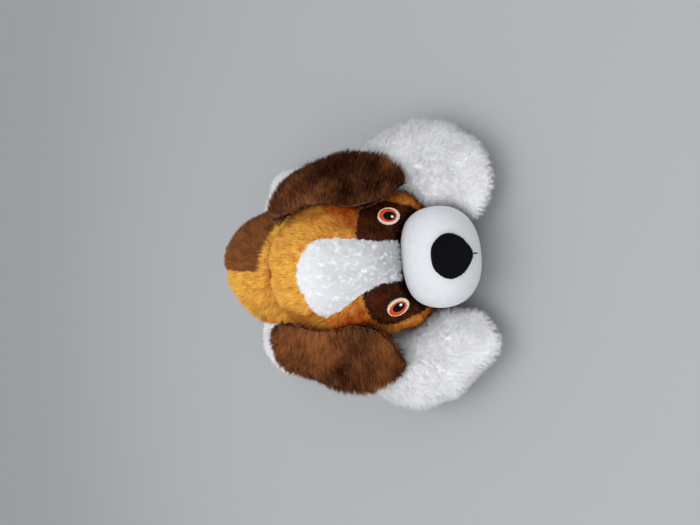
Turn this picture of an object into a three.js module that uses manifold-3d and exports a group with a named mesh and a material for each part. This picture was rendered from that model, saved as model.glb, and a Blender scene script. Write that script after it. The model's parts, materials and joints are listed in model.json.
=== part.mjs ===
// A plush puppy that lies on its belly with its head between its front paws.
// Millimetres, +Z up, nose toward -Y, the dog's left side toward +X.
// Each sewn fabric panel, each filling and each embroidered patch is its own solid.
import * as THREE from 'three';
import { mergeVertices } from 'three/addons/utils/BufferGeometryUtils.js';
import Module from 'manifold-3d';

const wasm = await Module();
wasm.setup();

// ---------------------------------------------------------------- driving dimensions

const PANEL = 5; // plush fabric with its pile
const STITCH_GAP = 0.15; // between two embroidered fields
const MUZZLE_PANEL = 2.5; // smooth short-pile fabric
const SEAM_GAP = 0.35; // between two sewn panels
const FILLING_GAP = 1.6; // between a panel and its filling
const MOVING_GAP = 0.8; // between bodies that move past each other
const FAR = 400; // longer than the dog in any direction
const SEEN = [22, 14]; // facets round and along the outer side of a form
const HIDDEN = [12, 8]; // the same for the inner side of a fabric and for a filling
const SEEN_LIMB = [14, 9];
const HIDDEN_LIMB = [10, 7];
const LAST_FACETS = 0.08; // the most that a surface may move when small facets are merged

const HEAD = { center: [-3, -48, 66], radii: [53, 52, 55], boxiness: 2.15, lean: 6 };
const FACE_TILT = 40; // the face plane looks this many degrees above the horizon
const MUZZLE = { center: [0, -65.5, -31.5], radii: [36, 29, 25.5], boxiness: 2.35 };
const NOSE = { tilt: 32, thickness: 2.2 };
const MOUTH = { start: 14.4, length: 5, width: 0.9 };
const EYE = { x: 31, h: -34.5, width: 12.5, height: 16.5, depth: 1.6, proud: 0.4 };
const EYE_LEAN = { left: 18, right: 10 };
const SPINE_SEAM = -8; // where the seam along the back lies, in x

const NECK = { pivot: [-3, -6, 50], radius: 27, lift: 25 };
const TORSO = { center: [-3, 55, 46], radii: [55, 72, 52], boxiness: 2.05 };
const SOLE_HEIGHT = 10; // the seam between a sole and the panel above it

// A limb: the pivot of its seam, the round root there, and its stations from root to toe
// as [x, y, z, half width, half height].
const LIMBS = {
  front_leg_right: {
    pivot: [-56, -2, 26],
    root: 24,
    stations: [
      [-54, 18, 24, 24, 23],
      [-66, -20, 23, 25, 24],
      [-78, -60, 21, 33, 24.5],
      [-68, -98, 21, 40, 24.5],
      [-37, -149, 17, 41, 20],
    ],
  },
  front_leg_left: {
    pivot: [56, -2, 26],
    root: 24,
    stations: [
      [54, 18, 24, 24, 23],
      [66, -20, 23, 23, 24],
      [75, -59, 21, 32, 24.5],
      [68, -97, 21, 43, 24.5],
      [39, -145, 17, 44, 20],
    ],
  },
  hind_leg_right: {
    pivot: [-46, 98, 25],
    root: 22,
    stations: [
      [-31, 103, 22, 20, 20],
      [-60, 108, 20, 23, 21],
      [-88, 101, 19, 25, 22],
      [-104, 64, 16, 22, 19],
    ],
  },
  hind_leg_left: {
    pivot: [42, 96, 25],
    root: 22,
    stations: [
      [28, 101, 22, 20, 20],
      [52, 105, 20, 23, 21],
      [70, 94, 19, 25, 22],
      [80, 54, 16, 22, 19],
    ],
  },
};

// An ear: its back, middle and front rib, each from the sewn root to the free edge.
const EARS = {
  ear_right: {
    back: [[-43, -20, 108], [-57, -15, 107], [-74, -16, 101], [-84, -27, 85]],
    middle: [[-43, -42, 103], [-60, -38, 104], [-80, -43, 86], [-93, -64, 53]],
    front: [[-43, -64, 98], [-39, -82, 87], [-46, -95, 69], [-71, -102, 44]],
  },
  ear_left: {
    back: [[28, -18, 110], [42, -13, 107], [57, -17, 99], [68, -28, 84]],
    middle: [[33, -39, 105], [49, -36, 103], [70, -44, 84], [78, -66, 51]],
    front: [[38, -60, 100], [35, -79, 90], [39, -91, 73], [58, -100, 42]],
  },
};
const EAR = { outer: 5, lining: 3, layerGap: 1, rootGap: 7.4 };

const TAIL = {
  pivot: [0, 126, 30],
  root: 9,
  stations: [[0, 121, 30, 10, 9], [0, 138, 26, 11, 10], [0, 156, 16, 8, 8]],
};

const COLORS = {
  golden: 0xd98a2b,
  brown: 0x5e3619,
  white: 0xf2f1ee,
  smooth: 0xf4f4f2,
  black: 0x101012,
  cream: 0xefe3d3,
  iris: 0xc4481d,
  filling: 0xf7f7f5,
};

// ---------------------------------------------------------------- solids

const vector = (list) => new THREE.Vector3(...list);

function positionsOnly(geometry) {
  const bare = geometry.clone();
  for (const name of Object.keys(bare.attributes)) {
    if (name !== 'position') bare.deleteAttribute(name);
  }
  return mergeVertices(bare, 1e-4);
}

function signedVolume(geometry) {
  const { position } = geometry.attributes;
  const corner = (k) => new THREE.Vector3().fromBufferAttribute(position, geometry.index.getX(k));
  let volume = 0;
  for (let k = 0; k < geometry.index.count; k += 3) {
    volume += corner(k).dot(corner(k + 1).cross(corner(k + 2))) / 6;
  }
  return volume;
}

function toSolid(geometry) {
  const merged = positionsOnly(geometry);
  const triangles = Uint32Array.from(merged.index.array);
  if (signedVolume(merged) < 0) {
    triangles.reverse();
  }
  const vertProperties = Float32Array.from(merged.attributes.position.array);
  return new wasm.Manifold(new wasm.Mesh({ numProp: 3, vertProperties, triVerts: triangles }));
}

function largestPiece(solid) {
  const pieces = solid.decompose();
  return pieces.reduce((best, piece) => (piece.volume() > best.volume() ? piece : best));
}

function toGeometry(solid) {
  const mesh = largestPiece(solid).simplify(LAST_FACETS).getMesh();
  const geometry = new THREE.BufferGeometry();
  geometry.setAttribute('position', new THREE.BufferAttribute(mesh.vertProperties.slice(), 3));
  geometry.setIndex(new THREE.BufferAttribute(mesh.triVerts.slice(), 1));
  geometry.computeVertexNormals();
  return geometry;
}

function fabric(name, solid, color, roughness = 0.95) {
  const material = new THREE.MeshStandardMaterial({ color, roughness, metalness: 0 });
  const mesh = new THREE.Mesh(toGeometry(solid), material);
  mesh.name = name;
  return mesh;
}

const union = (solids) => solids.reduce((sum, solid) => sum.add(solid));

// A half space: everything on the side of the plane that its normal points to.
function halfSpace(normal, distance) {
  const slab = new THREE.BoxGeometry(2 * FAR, 2 * FAR, FAR);
  slab.translate(0, 0, FAR / 2 + distance);
  const turn = new THREE.Quaternion().setFromUnitVectors(
    new THREE.Vector3(0, 0, 1),
    vector(normal).normalize(),
  );
  return toSolid(slab.applyQuaternion(turn));
}

function ball(center, radius) {
  return toSolid(new THREE.SphereGeometry(radius, 14, 9).translate(...center));
}

function rod(from, to, radius) {
  const length = from.distanceTo(to);
  const turn = new THREE.Quaternion().setFromUnitVectors(
    new THREE.Vector3(0, 1, 0),
    to.clone().sub(from).normalize(),
  );
  const geometry = new THREE.CylinderGeometry(radius, radius, length, 16);
  geometry.applyQuaternion(turn);
  geometry.translate(...from.clone().add(to).multiplyScalar(0.5).toArray());
  return toSolid(geometry);
}

// What a geometry passes through as it turns about an axis, in steps up to an angle.
function sweep(geometry, pivot, axis, degrees, steps = 3) {
  const solids = [];
  for (let k = 0; k <= steps; k += 1) {
    const angle = THREE.MathUtils.degToRad((degrees * k) / steps);
    const turned = geometry.clone();
    turned.translate(-pivot[0], -pivot[1], -pivot[2]);
    turned.applyQuaternion(new THREE.Quaternion().setFromAxisAngle(vector(axis), angle));
    turned.translate(...pivot);
    solids.push(toSolid(turned));
  }
  return union(solids);
}

// ---------------------------------------------------------------- stuffed forms

// The radius of a stuffed form in a direction: a rounded box with soft swells and hollows.
function formRadius(form, direction, grow) {
  const n = form.boxiness;
  const [a, b, c] = form.radii.map((radius) => radius + grow);
  const sum =
    Math.abs(direction.x / a) ** n + Math.abs(direction.y / b) ** n + Math.abs(direction.z / c) ** n;
  let radius = sum ** (-1 / n);
  for (const swell of form.swells ?? []) {
    const angle = direction.angleTo(vector(swell.toward));
    radius += swell.height * Math.exp(-((angle / swell.width) ** 2));
  }
  return radius;
}

function formGeometry(form, grow, [around, along]) {
  const geometry = new THREE.SphereGeometry(1, around, along);
  const { position } = geometry.attributes;
  const point = new THREE.Vector3();
  for (let k = 0; k < position.count; k += 1) {
    point.fromBufferAttribute(position, k).normalize();
    point.multiplyScalar(formRadius(form, point, grow));
    position.setXYZ(k, ...point.toArray());
  }
  return geometry.translate(...form.center);
}

// A limb round its stations, with round ends and upright sections.
function limbGeometry(stations, grow, [around, along]) {
  const spine = new THREE.CatmullRomCurve3(stations.map(([x, y, z]) => new THREE.Vector3(x, y, z)));
  const girth = new THREE.CatmullRomCurve3(stations.map(([, , , w, h]) => new THREE.Vector3(w, h, 0)));
  const geometry = new THREE.SphereGeometry(1, around, along);
  const { position } = geometry.attributes;
  const shorten = -grow / spine.getLength();
  const up = new THREE.Vector3(0, 0, 1);
  for (let k = 0; k < position.count; k += 1) {
    const unit = new THREE.Vector3().fromBufferAttribute(position, k);
    const t = THREE.MathUtils.lerp(shorten, 1 - shorten, (1 - unit.y) / 2);
    const place = THREE.MathUtils.clamp(t, 0, 1);
    const fullness = Math.hypot(unit.x, unit.z) ** 0.8;
    const turn = Math.atan2(unit.z, unit.x);
    const size = girth.getPoint(place);
    const tangent = spine.getTangent(place);
    const side = tangent.clone().cross(up).normalize();
    const point = spine.getPoint(place);
    point.addScaledVector(tangent, (t - place) * spine.getLength());
    point.addScaledVector(side, Math.cos(turn) * fullness * (size.x + grow));
    point.addScaledVector(up, Math.sin(turn) * fullness * (size.y + grow));
    position.setXYZ(k, ...point.toArray());
  }
  return geometry;
}

// ---------------------------------------------------------------- the face plane

const tilt = THREE.MathUtils.degToRad(FACE_TILT);
const FACE_UP = new THREE.Vector3(0, Math.sin(tilt), Math.cos(tilt));
const FACE_OUT = new THREE.Vector3(0, -Math.cos(tilt), Math.sin(tilt));
const FACE_BASIS = new THREE.Matrix4().makeBasis(new THREE.Vector3(1, 0, 0), FACE_UP, FACE_OUT);

// A closed smooth outline through a few points.
function outline(points, count = 28) {
  const curve = new THREE.CatmullRomCurve3(
    points.map(([x, y]) => new THREE.Vector3(x, y, 0)),
    true,
    'centripetal',
  );
  return curve.getPoints(count).slice(0, -1).map(({ x, y }) => new THREE.Vector2(x, y));
}

function grownOutline(points, distance) {
  const winding = Math.sign(THREE.ShapeUtils.area(points));
  return points.map((point, k) => {
    const before = points[(k + points.length - 1) % points.length];
    const after = points[(k + 1) % points.length];
    const along = after.clone().sub(before).normalize().multiplyScalar(winding);
    return new THREE.Vector2(point.x + along.y * distance, point.y - along.x * distance);
  });
}

// A straight-sided cutter that stands on the face plane and reaches out of the head.
function facePrism(points, basis = FACE_BASIS) {
  const settings = { depth: FAR, bevelEnabled: false };
  const geometry = new THREE.ExtrudeGeometry(new THREE.Shape(points), settings);
  return toSolid(geometry.applyMatrix4(basis));
}

const mirrored = (points) => points.map(([x, y]) => [-x, y]);

// ---------------------------------------------------------------- head

const headForm = {
  center: [0, 0, 0],
  radii: HEAD.radii,
  boxiness: HEAD.boxiness,
  swells: [
    { toward: [0, -0.83, 0.56], height: -3, width: 0.3 }, // the dip between brow and muzzle
    { toward: [0.743, -0.545, -0.416], height: 8, width: 0.44 }, // left cheek
    { toward: [-0.743, -0.545, -0.416], height: 8, width: 0.44 }, // right cheek
    { toward: [0.5, -0.65, -0.57], height: 17, width: 0.36 }, // left jowl beside the muzzle
    { toward: [-0.5, -0.65, -0.57], height: 17, width: 0.36 }, // right jowl
    { toward: [0, -1, 0.1], height: 3, width: 0.45 }, // bridge above the muzzle
  ],
};

const headGroup = new THREE.Group();
headGroup.position.set(...HEAD.center);
headGroup.quaternion.setFromAxisAngle(FACE_OUT, THREE.MathUtils.degToRad(HEAD.lean));
headGroup.updateMatrixWorld(true);

const inHead = (point) => headGroup.worldToLocal(point.clone());

function headShadow(grow, facets = SEEN) {
  const head = formGeometry(headForm, grow, facets);
  const muzzle = formGeometry(MUZZLE, grow, facets);
  return [head, muzzle].map((geometry) => geometry.applyMatrix4(headGroup.matrixWorld));
}

const neckInHead = ball(inHead(vector(NECK.pivot)).toArray(), NECK.radius + 2 * MOVING_GAP);

function earAxis(ear) {
  const back = vector(ear.back[0]);
  const front = vector(ear.front[0]);
  return { back, front, along: front.clone().sub(back).normalize() };
}

function earGrooves() {
  return union(
    Object.values(EARS).map((ear) => {
      const { back, front, along } = earAxis(ear);
      const from = inHead(back.clone().addScaledVector(along, -4));
      const to = inHead(front.clone().addScaledVector(along, 6));
      return rod(from, to, EAR.rootGap);
    }),
  );
}

const BLAZE = outline([
  [-2, 33],
  [-18, 29],
  [-32, 20],
  [-31, 8],
  [-21, -8],
  [-14.5, -24],
  [-13, -44],
  [0, -56],
  [13, -44],
  [15.5, -24],
  [17.5, -12],
  [20.5, 8],
  [17, 23],
], 36);
const PATCH = [
  [10, -14],
  [38, -15.5],
  [45.5, -28],
  [41.5, -44],
  [35, -58],
  [8, -64],
];

function headPanels() {
  const outside = toSolid(formGeometry(headForm, 0, SEEN));
  const inside = toSolid(formGeometry(headForm, -PANEL, HIDDEN));
  const skin = outside.subtract(inside);
  const muzzleRoom = toSolid(formGeometry(MUZZLE, SEAM_GAP, SEEN));
  let rest = skin.subtract(muzzleRoom).subtract(neckInHead).subtract(earGrooves());
  const panels = [];

  const take = (name, color, cutter, grownCutter) => {
    panels.push(fabric(name, rest.intersect(cutter), color));
    rest = rest.subtract(grownCutter);
  };
  const takeInside = (name, color, points) =>
    take(name, color, facePrism(points), facePrism(grownOutline(points, SEAM_GAP)));

  takeInside('head_blaze_panel', COLORS.white, BLAZE);
  rest = rest.subtract(eyePockets());
  takeInside('eye_patch_left', COLORS.brown, outline(PATCH));
  takeInside('eye_patch_right', COLORS.brown, outline(mirrored(PATCH)));

  const chin = [0, -0.35, -1];
  const chinDepth = 32;
  take('head_chin_panel', COLORS.golden, halfSpace(chin, chinDepth), halfSpace(chin, chinDepth - SEAM_GAP));

  const seamHeight = -15;
  const above = rest.intersect(halfSpace(FACE_UP.toArray(), seamHeight + SEAM_GAP));
  const below = rest.intersect(halfSpace(FACE_UP.clone().negate().toArray(), -seamHeight));
  for (const [side, sign] of [['left', 1], ['right', -1]]) {
    const half = halfSpace([sign, 0, 0], SEAM_GAP / 2);
    panels.push(fabric(`head_crown_${side}_panel`, above.intersect(half), COLORS.golden));
    panels.push(fabric(`head_cheek_${side}_panel`, below.intersect(half), COLORS.golden));
  }
  return panels;
}

function headFilling() {
  const filling = toSolid(formGeometry(headForm, -PANEL - FILLING_GAP, HIDDEN));
  const muzzleRoom = toSolid(formGeometry(MUZZLE, SEAM_GAP, SEEN));
  const solid = filling.subtract(muzzleRoom).subtract(neckInHead).subtract(earGrooves());
  return fabric('head_filling', solid, COLORS.filling);
}

// ---------------------------------------------------------------- muzzle, nose and mouth

function muzzleParts() {
  const outside = toSolid(formGeometry(MUZZLE, 0, SEEN));
  const inside = toSolid(formGeometry(MUZZLE, -MUZZLE_PANEL, HIDDEN));
  const filling = toSolid(formGeometry(MUZZLE, -MUZZLE_PANEL - FILLING_GAP, HIDDEN));
  const backOpening = toSolid(formGeometry(headForm, -PANEL, HIDDEN));
  return [
    fabric('muzzle_cover', outside.subtract(inside).subtract(backOpening), COLORS.smooth, 0.8),
    fabric('muzzle_filling', filling, COLORS.filling),
  ];
}

const noseTilt = THREE.MathUtils.degToRad(NOSE.tilt);
const noseUp = new THREE.Vector3(0, Math.sin(noseTilt), Math.cos(noseTilt));
const noseOut = new THREE.Vector3(0, -Math.cos(noseTilt), Math.sin(noseTilt));
const NOSE_BASIS = new THREE.Matrix4()
  .makeBasis(new THREE.Vector3(1, 0, 0), noseUp, noseOut)
  .setPosition(...MUZZLE.center);

const NOSE_OUTLINE = [
  [0, 13],
  [8.5, 11.3],
  [14.5, 4],
  [12.4, -4.5],
  [6.2, -10.8],
  [0, -13.6],
  [-6.2, -10.8],
  [-12.4, -4.5],
  [-14.5, 4],
  [-8.5, 11.3],
];

function noseAndMouth() {
  const outside = toSolid(formGeometry(MUZZLE, NOSE.thickness, SEEN));
  const inside = toSolid(formGeometry(MUZZLE, SEAM_GAP, SEEN));
  const nose = outside.subtract(inside).intersect(facePrism(outline(NOSE_OUTLINE), NOSE_BASIS));

  const center = vector(MUZZLE.center);
  const steps = 5;
  const path = [];
  for (let k = 0; k <= steps; k += 1) {
    const height = -MOUTH.start - (MOUTH.length * k) / steps;
    const direction = noseOut.clone().multiplyScalar(26).addScaledVector(noseUp, height).normalize();
    const reach = formRadius(MUZZLE, direction, MOUTH.width / 2 + 2 * SEAM_GAP);
    path.push(center.clone().addScaledVector(direction, reach));
  }
  const section = new THREE.Shape().absarc(0, 0, MOUTH.width / 2, 0, 2 * Math.PI);
  const thread = new THREE.ExtrudeGeometry(section, {
    steps: 6,
    curveSegments: 4,
    bevelEnabled: false,
    extrudePath: new THREE.CatmullRomCurve3(path),
  });
  return [
    fabric('nose_embroidery', nose, COLORS.black, 0.6),
    fabric('mouth_stitch', toSolid(thread), COLORS.black, 0.6),
  ];
}

// ---------------------------------------------------------------- eyes

function onHead(x, h) {
  let near = 0;
  let far = 100;
  const point = new THREE.Vector3();
  const place = (out) =>
    point.set(x, 0, 0).addScaledVector(FACE_UP, h).addScaledVector(FACE_OUT, out);
  for (let k = 0; k < 30; k += 1) {
    const middle = (near + far) / 2;
    place(middle);
    const inside = point.length() < formRadius(headForm, point.clone().normalize(), 0);
    if (inside) near = middle;
    else far = middle;
  }
  return place(near).clone();
}

function eyeBasis(sign) {
  const center = onHead(sign * EYE.x, EYE.h);
  const step = 3;
  const across = onHead(sign * EYE.x + step, EYE.h).sub(onHead(sign * EYE.x - step, EYE.h)).normalize();
  const rise = onHead(sign * EYE.x, EYE.h + step).sub(onHead(sign * EYE.x, EYE.h - step)).normalize();
  const out = across.clone().cross(rise).normalize();
  const up = out.clone().cross(across);
  const lean = THREE.MathUtils.degToRad(sign < 0 ? EYE_LEAN.right : EYE_LEAN.left);
  const basis = new THREE.Matrix4().makeBasis(across, up, out);
  basis.multiply(new THREE.Matrix4().makeRotationZ(lean));
  return basis.setPosition(center.addScaledVector(out, EYE.proud - EYE.depth));
}

function ellipsePath(width, height, dx, dy, count = 14) {
  const curve = new THREE.EllipseCurve(dx, dy, width / 2, height / 2, 0, 2 * Math.PI);
  return curve.getPoints(count).slice(0, -1);
}

// One embroidered field: an oval with another oval left out of it.
function eyeField(basis, depth, oval, hole) {
  const shape = new THREE.Shape(oval);
  if (hole) shape.holes.push(new THREE.Path(hole));
  const geometry = new THREE.ExtrudeGeometry(shape, { depth, bevelEnabled: false });
  return toSolid(geometry.applyMatrix4(basis));
}

function eyeOvals(sign, grow) {
  const inward = -sign;
  const { width, height } = EYE;
  return {
    outline: ellipsePath(width + grow, height + grow, 0, 0),
    iris: ellipsePath(width * 0.82 + grow, height * 0.82 + grow, -0.5 * inward, 0.6),
    pupil: ellipsePath(width * 0.52 + grow, height * 0.55 + grow, 0.1 * inward, -0.1),
    glint: ellipsePath(2 + grow, 2.2 + grow, 1.2 * inward, -2.0, 10),
  };
}

function eyePockets() {
  const pocket = (sign) =>
    eyeField(eyeBasis(sign), EYE.depth + 8, eyeOvals(sign, 2 * SEAM_GAP).outline, null);
  return pocket(1).add(pocket(-1));
}

function eyeParts() {
  const parts = [];
  for (const [side, sign] of [['left', 1], ['right', -1]]) {
    const basis = eyeBasis(sign).clone();
    const lift = new THREE.Matrix4().makeTranslation(0, 0, SEAM_GAP);
    basis.multiply(lift);
    const ovals = eyeOvals(sign, 0);
    const holes = eyeOvals(sign, 2 * STITCH_GAP);
    const fields = [
      ['outline', ovals.outline, holes.iris, COLORS.cream],
      ['iris', ovals.iris, holes.pupil, COLORS.iris],
      ['pupil', ovals.pupil, holes.glint, COLORS.black],
      ['glint', ovals.glint, null, COLORS.white],
    ];
    for (const [name, oval, hole, color] of fields) {
      parts.push(fabric(`eye_${side}_${name}`, eyeField(basis, EYE.depth, oval, hole), color, 0.5));
    }
  }
  return parts;
}

// ---------------------------------------------------------------- ears

function earPoint(ear, s, t) {
  const ribs = [ear.back, ear.middle, ear.front].map((rib) =>
    new THREE.CatmullRomCurve3(rib.map(vector)).getPoint(s),
  );
  return new THREE.CatmullRomCurve3(ribs).getPoint(t);
}

function earLayer(ear, from, to) {
  const geometry = new THREE.BoxGeometry(2, 2, 1, 6, 6, 1);
  const { position } = geometry.attributes;
  const headCenter = vector(HEAD.center);
  const small = 0.01;
  for (let k = 0; k < position.count; k += 1) {
    const u = position.getX(k);
    const v = position.getY(k);
    const rim = Math.max(Math.abs(u), v) ** 6;
    const rounding = u < 0 ? 0.1 : 0.03;
    const s = THREE.MathUtils.clamp(((v + 1) / 2) * (1 - rounding * u ** 4), 0, 1);
    const t = THREE.MathUtils.clamp(0.5 + 0.5 * u * (1 - 0.12 * Math.max(v, 0) ** 4), 0, 1);
    const s0 = THREE.MathUtils.clamp(s, small, 1 - small);
    const t0 = THREE.MathUtils.clamp(t, small, 1 - small);
    const alongS = earPoint(ear, s0 + small, t0).sub(earPoint(ear, s0 - small, t0));
    const alongT = earPoint(ear, s0, t0 + small).sub(earPoint(ear, s0, t0 - small));
    const out = alongS.cross(alongT).normalize();
    const point = earPoint(ear, s, t);
    if (out.dot(point.clone().sub(headCenter)) < 0) out.negate();
    const layer = position.getZ(k) > 0 ? to : from;
    const near = EAR.layerGap / 2;
    const offset = Math.sign(layer) * (near + (Math.abs(layer) - near) * (1 - 0.4 * rim));
    point.addScaledVector(out, offset);
    position.setXYZ(k, ...point.toArray());
  }
  return toSolid(geometry);
}

function earParts() {
  const headRoom = headRest(SEAM_GAP);
  const parts = [];
  for (const [name, ear] of Object.entries(EARS)) {
    const near = EAR.layerGap / 2;
    const outer = earLayer(ear, near, EAR.outer).subtract(headRoom);
    const lining = earLayer(ear, -EAR.lining, -near).subtract(headRoom);
    parts.push(fabric(`${name}_outer_panel`, outer, COLORS.brown));
    parts.push(fabric(`${name}_lining`, lining, COLORS.brown));
  }
  return parts;
}

// ---------------------------------------------------------------- torso

const aboveFloor = (height) => halfSpace([0, 0, 1], height);
const belowFloor = (height) => halfSpace([0, 0, -1], -height);

function limbRoots(grow) {
  return union(Object.values(LIMBS).map((limb) => ball(limb.pivot, limb.root + grow)));
}

function limbShadows(grow) {
  return union(
    Object.values(LIMBS).map((limb) => toSolid(limbGeometry(limb.stations, grow, HIDDEN_LIMB))),
  );
}

const headRest = (grow) => union(headShadow(grow).map(toSolid));

const headSweep = union(
  headShadow(3 * MOVING_GAP, HIDDEN).map((geometry) =>
    sweep(geometry, NECK.pivot, [-1, 0, 0], NECK.lift, 3),
  ),
);

function torsoParts() {
  const room = limbRoots(2 * MOVING_GAP)
    .add(limbShadows(3 * MOVING_GAP))
    .add(headSweep)
    .add(ball(TAIL.pivot, TAIL.root + MOVING_GAP));
  const neck = ball(NECK.pivot, NECK.radius + SEAM_GAP);
  const outside = toSolid(formGeometry(TORSO, 0, SEEN)).intersect(aboveFloor(0));
  const inside = toSolid(formGeometry(TORSO, -PANEL, HIDDEN)).intersect(aboveFloor(PANEL));
  const core = toSolid(formGeometry(TORSO, -PANEL - FILLING_GAP, HIDDEN));
  const filling = core
    .intersect(aboveFloor(PANEL + FILLING_GAP))
    .subtract(room)
    .add(ball(NECK.pivot, NECK.radius).intersect(aboveFloor(PANEL + FILLING_GAP)));

  let rest = outside.subtract(inside).subtract(room).subtract(neck);
  const belly = rest.intersect(belowFloor(SOLE_HEIGHT));
  rest = rest.intersect(aboveFloor(SOLE_HEIGHT + SEAM_GAP));
  const patchFront = [0.26, 1, 0];
  const patchStart = 32;
  const leftSide = halfSpace([1, 0, 0], SPINE_SEAM + SEAM_GAP);
  const leftRear = halfSpace(patchFront, patchStart).intersect(leftSide);
  const left = rest.intersect(leftSide).subtract(halfSpace(patchFront, patchStart - SEAM_GAP));
  const right = rest.intersect(halfSpace([-1, 0, 0], -SPINE_SEAM));
  return [
    fabric('torso_filling', filling, COLORS.filling),
    fabric('belly_panel', belly, COLORS.golden),
    fabric('torso_brown_patch', rest.intersect(leftRear), COLORS.brown),
    fabric('torso_left_panel', left, COLORS.golden),
    fabric('torso_right_panel', right, COLORS.golden),
  ];
}

// ---------------------------------------------------------------- legs and tail

function limbSolid(limb, grow, facets) {
  const body = toSolid(limbGeometry(limb.stations, grow, facets));
  return body.add(ball(limb.pivot, limb.root + grow));
}

function limbParts(name, limb) {
  const outside = limbSolid(limb, 0, SEEN_LIMB).subtract(headRest(2 * MOVING_GAP));
  const inside = limbSolid(limb, -PANEL, HIDDEN_LIMB).intersect(aboveFloor(PANEL));
  const core = limbSolid(limb, -PANEL - FILLING_GAP, HIDDEN_LIMB).intersect(aboveFloor(PANEL + FILLING_GAP));
  const skin = outside.intersect(aboveFloor(0)).subtract(inside.subtract(headRest(PANEL)));
  return [
    fabric(`${name}_filling`, core.subtract(headRest(PANEL + FILLING_GAP)), COLORS.filling),
    fabric(`${name}_upper_panel`, skin.intersect(aboveFloor(SOLE_HEIGHT + SEAM_GAP)), COLORS.white),
    fabric(`${name}_sole_panel`, skin.intersect(belowFloor(SOLE_HEIGHT)), COLORS.white),
  ];
}

function tailParts() {
  const outside = toSolid(limbGeometry(TAIL.stations, 0, HIDDEN_LIMB)).add(ball(TAIL.pivot, TAIL.root));
  const skinDepth = 3;
  const inside = toSolid(limbGeometry(TAIL.stations, -skinDepth, HIDDEN_LIMB));
  const core = toSolid(limbGeometry(TAIL.stations, -skinDepth - FILLING_GAP, HIDDEN_LIMB));
  const skin = outside.subtract(inside);
  const slope = [0, 0.35, 1];
  const middle = 72;
  return [
    fabric('tail_filling', core, COLORS.filling),
    fabric('tail_upper_panel', skin.intersect(halfSpace(slope, middle)), COLORS.golden),
    fabric('tail_lower_panel', skin.intersect(halfSpace([0, -0.35, -1], -middle + SEAM_GAP)), COLORS.golden),
  ];
}

// ---------------------------------------------------------------- assembly

const dog = new THREE.Group();
headGroup.add(...headPanels(), headFilling(), ...muzzleParts(), ...noseAndMouth(), ...eyeParts());
dog.add(headGroup, ...earParts(), ...torsoParts(), ...tailParts());
for (const [name, limb] of Object.entries(LIMBS)) {
  dog.add(...limbParts(name, limb));
}

// The origin goes to the middle of the footprint, at the height of the floor.
const box = new THREE.Box3().setFromObject(dog);
const middle = box.getCenter(new THREE.Vector3());
dog.position.set(-middle.x, -middle.y, -box.min.z);

export default dog;
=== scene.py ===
# A plush puppy lying on its belly: stuffed skins, pile of single fibres, embroidered face.
# Metres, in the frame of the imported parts. Nose toward -Y, the dog's left toward +X.
import json
import math

import bmesh
import bpy
import numpy as np
from mathutils import Matrix, Vector
from mathutils.bvhtree import BVHTree
from mathutils.kdtree import KDTree


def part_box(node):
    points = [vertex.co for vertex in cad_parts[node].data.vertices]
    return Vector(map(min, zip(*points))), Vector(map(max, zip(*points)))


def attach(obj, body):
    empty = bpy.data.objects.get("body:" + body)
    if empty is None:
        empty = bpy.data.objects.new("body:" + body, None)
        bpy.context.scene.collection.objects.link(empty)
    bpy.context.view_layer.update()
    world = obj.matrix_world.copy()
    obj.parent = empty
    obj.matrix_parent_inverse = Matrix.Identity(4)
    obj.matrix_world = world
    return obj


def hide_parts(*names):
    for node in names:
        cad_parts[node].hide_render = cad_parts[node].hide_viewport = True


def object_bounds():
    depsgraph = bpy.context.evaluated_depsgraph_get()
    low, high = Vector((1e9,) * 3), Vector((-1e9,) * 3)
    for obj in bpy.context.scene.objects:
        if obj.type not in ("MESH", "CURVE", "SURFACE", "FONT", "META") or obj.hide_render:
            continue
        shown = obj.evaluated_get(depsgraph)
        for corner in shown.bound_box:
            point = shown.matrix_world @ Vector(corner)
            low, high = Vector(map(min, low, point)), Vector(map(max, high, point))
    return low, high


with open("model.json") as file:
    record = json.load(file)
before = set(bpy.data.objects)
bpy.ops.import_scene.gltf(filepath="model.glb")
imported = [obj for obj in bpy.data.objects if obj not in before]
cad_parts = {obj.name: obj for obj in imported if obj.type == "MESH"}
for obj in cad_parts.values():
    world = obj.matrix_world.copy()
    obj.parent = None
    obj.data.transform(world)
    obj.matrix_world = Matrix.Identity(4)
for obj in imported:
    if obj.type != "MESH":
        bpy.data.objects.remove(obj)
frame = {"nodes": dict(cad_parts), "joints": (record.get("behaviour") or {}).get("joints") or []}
CAD_LOW, CAD_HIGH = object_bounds()

MM = 0.001
PIVOT = {j["child"]: Vector(j["pos_m"]) for j in frame["joints"]}
SIDES = ("left", "right")
LIMBS = ("front_leg_right", "front_leg_left", "hind_leg_right", "hind_leg_left")


# ------------------------------------------------------------------ colours and materials

SHEEN_ROUGHNESS = 0.4
BROAD_GRAINS = 12  # a cloth's broad grains are this many times its fine ones
RAMP_ENDS = (0.35, 0.65)  # the noise at which a cloth is fully dark and fully light
RELIEF_DEPTH = 0.4 * MM


def linear(code):
    """A linear colour from a six-figure screen colour."""
    parts = [int(code[k:k + 2], 16) / 255 for k in (0, 2, 4)]
    return tuple(c / 12.92 if c < 0.04045 else ((c + 0.055) / 1.055) ** 2.4 for c in parts)


def mixed(a, b, t):
    """The colour that lies t of the way from a to b."""
    return tuple(x + (y - x) * t for x, y in zip(a, b))


def principled(name, color, roughness, sheen=0.0, specular=0.3):
    m = bpy.data.materials.new(name)
    m.use_nodes = True
    shader = m.node_tree.nodes["Principled BSDF"]
    shader.inputs["Base Color"].default_value = (*color, 1)
    shader.inputs["Roughness"].default_value = roughness
    shader.inputs["Specular IOR Level"].default_value = specular
    shader.inputs["Sheen Weight"].default_value = sheen
    shader.inputs["Sheen Roughness"].default_value = SHEEN_ROUGHNESS
    return m


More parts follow.
